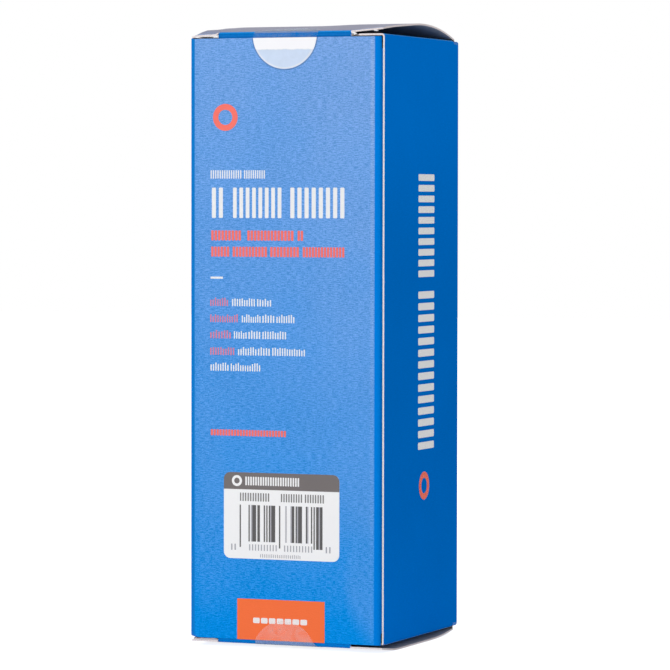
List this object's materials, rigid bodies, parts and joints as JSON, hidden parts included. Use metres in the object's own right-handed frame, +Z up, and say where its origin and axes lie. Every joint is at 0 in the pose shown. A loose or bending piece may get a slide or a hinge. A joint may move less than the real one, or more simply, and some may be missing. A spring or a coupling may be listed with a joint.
{
  "type": "racquetball pack",
  "caption": "Tall folding carton with slit-locked tuck lids at both ends, wafer seals and a glued upright seam, around a stack of hollow rubber racquetballs.",
  "frame": {"origin": "middle of the footprint, on the surface that the carton stands on", "axes": "+Z up along the carton, -Y towards the viewer of the front panel, +X to the right of the front panel"},
  "size_m": [0.061, 0.0611, 0.1814],
  "materials": {
    "front_print": "printed, fine embossed linen grain, satin varnish",
    "side_print": "printed deep blue, satin varnish",
    "lid_print": "printed blue, satin varnish",
    "raw_board": "unprinted grey-white board",
    "label_paper": "white self-adhesive paper, semi-gloss",
    "seal_film": "milky self-adhesive film",
    "ball_rubber": "matte blue rubber"
  },
  "bodies": {
    "sleeve": {"front_panel": "front_print", "left_panel": "side_print", "back_panel": "front_print", "right_panel": "side_print", "glue_flap": "raw_board", "stock_label": "label_paper"},
    "top_lid": {"top_lid": "lid_print", "top_seal_lid_half": "seal_film"},
    "top_tuck_flap": {"top_tuck_flap": "lid_print", "top_seal_front_half": "seal_film"},
    "top_dust_flap_left": {"top_dust_flap_left": "side_print"},
    "top_dust_flap_right": {"top_dust_flap_right": "side_print"},
    "bottom_lid": {"bottom_lid": "lid_print", "bottom_seal_lid_half": "seal_film"},
    "bottom_tuck_flap": {"bottom_tuck_flap": "lid_print", "bottom_seal_front_half": "seal_film"},
    "bottom_dust_flap_left": {"bottom_dust_flap_left": "side_print"},
    "bottom_dust_flap_right": {"bottom_dust_flap_right": "side_print"},
    "lower_ball": {"lower_ball_bottom_half": "ball_rubber", "lower_ball_top_half": "ball_rubber"},
    "middle_ball": {"middle_ball_bottom_half": "ball_rubber", "middle_ball_top_half": "ball_rubber"},
    "upper_ball": {"upper_ball_bottom_half": "ball_rubber", "upper_ball_top_half": "ball_rubber"}
  },
  "joints": [
    {"name": "top_lid_hinge", "type": "hinge", "parent": "sleeve", "child": "top_lid", "pos_m": [0, 0.0305, 0.17679], "axis": [-1, 0, 0], "range_deg": [0, 240]},
    {"name": "top_tuck_fold", "type": "hinge", "parent": "top_lid", "child": "top_tuck_flap", "pos_m": [0, -0.02947, 0.1779], "axis": [-1, 0, 0], "range_deg": [0, 72]},
    {"name": "top_dust_fold_left", "type": "hinge", "parent": "sleeve", "child": "top_dust_flap_left", "pos_m": [-0.03021, 0, 0.177], "axis": [0, -1, 0], "range_deg": [0, 108]},
    {"name": "top_dust_fold_right", "type": "hinge", "parent": "sleeve", "child": "top_dust_flap_right", "pos_m": [0.03021, 0, 0.177], "axis": [0, 1, 0], "range_deg": [0, 108]},
    {"name": "bottom_lid_hinge", "type": "hinge", "parent": "sleeve", "child": "bottom_lid", "pos_m": [0, 0.0305, 0.00174], "axis": [1, 0, 0], "range_deg": [0, 240]},
    {"name": "bottom_tuck_fold", "type": "hinge", "parent": "bottom_lid", "child": "bottom_tuck_flap", "pos_m": [0, -0.02931, 0.0014], "axis": [1, 0, 0], "range_deg": [0, 72]},
    {"name": "bottom_dust_fold_left", "type": "hinge", "parent": "sleeve", "child": "bottom_dust_flap_left", "pos_m": [-0.03021, 0, 0.00268], "axis": [0, 1, 0], "range_deg": [0, 108]},
    {"name": "bottom_dust_fold_right", "type": "hinge", "parent": "sleeve", "child": "bottom_dust_flap_right", "pos_m": [0.03021, 0, 0.00268], "axis": [0, -1, 0], "range_deg": [0, 108]},
    {"name": "lower_ball_play", "type": "slide", "parent": "sleeve", "child": "lower_ball", "axis": [0, 0, 1], "range_m": [0, 0.0005]},
    {"name": "middle_ball_play", "type": "slide", "parent": "lower_ball", "child": "middle_ball", "axis": [0, 0, 1], "range_m": [0, 0.0005]},
    {"name": "upper_ball_play", "type": "slide", "parent": "middle_ball", "child": "upper_ball", "axis": [0, 0, 1], "range_m": [0, 0.0005]}
  ],
  "couplings": [
    {"joint": "top_tuck_fold", "follows": "top_lid_hinge", "ratio": 0.3},
    {"joint": "top_dust_fold_left", "follows": "top_lid_hinge", "ratio": 0.45},
    {"joint": "top_dust_fold_right", "follows": "top_lid_hinge", "ratio": 0.45},
    {"joint": "bottom_tuck_fold", "follows": "bottom_lid_hinge", "ratio": 0.3},
    {"joint": "bottom_dust_fold_left", "follows": "bottom_lid_hinge", "ratio": 0.45},
    {"joint": "bottom_dust_fold_right", "follows": "bottom_lid_hinge", "ratio": 0.45}
  ]
}
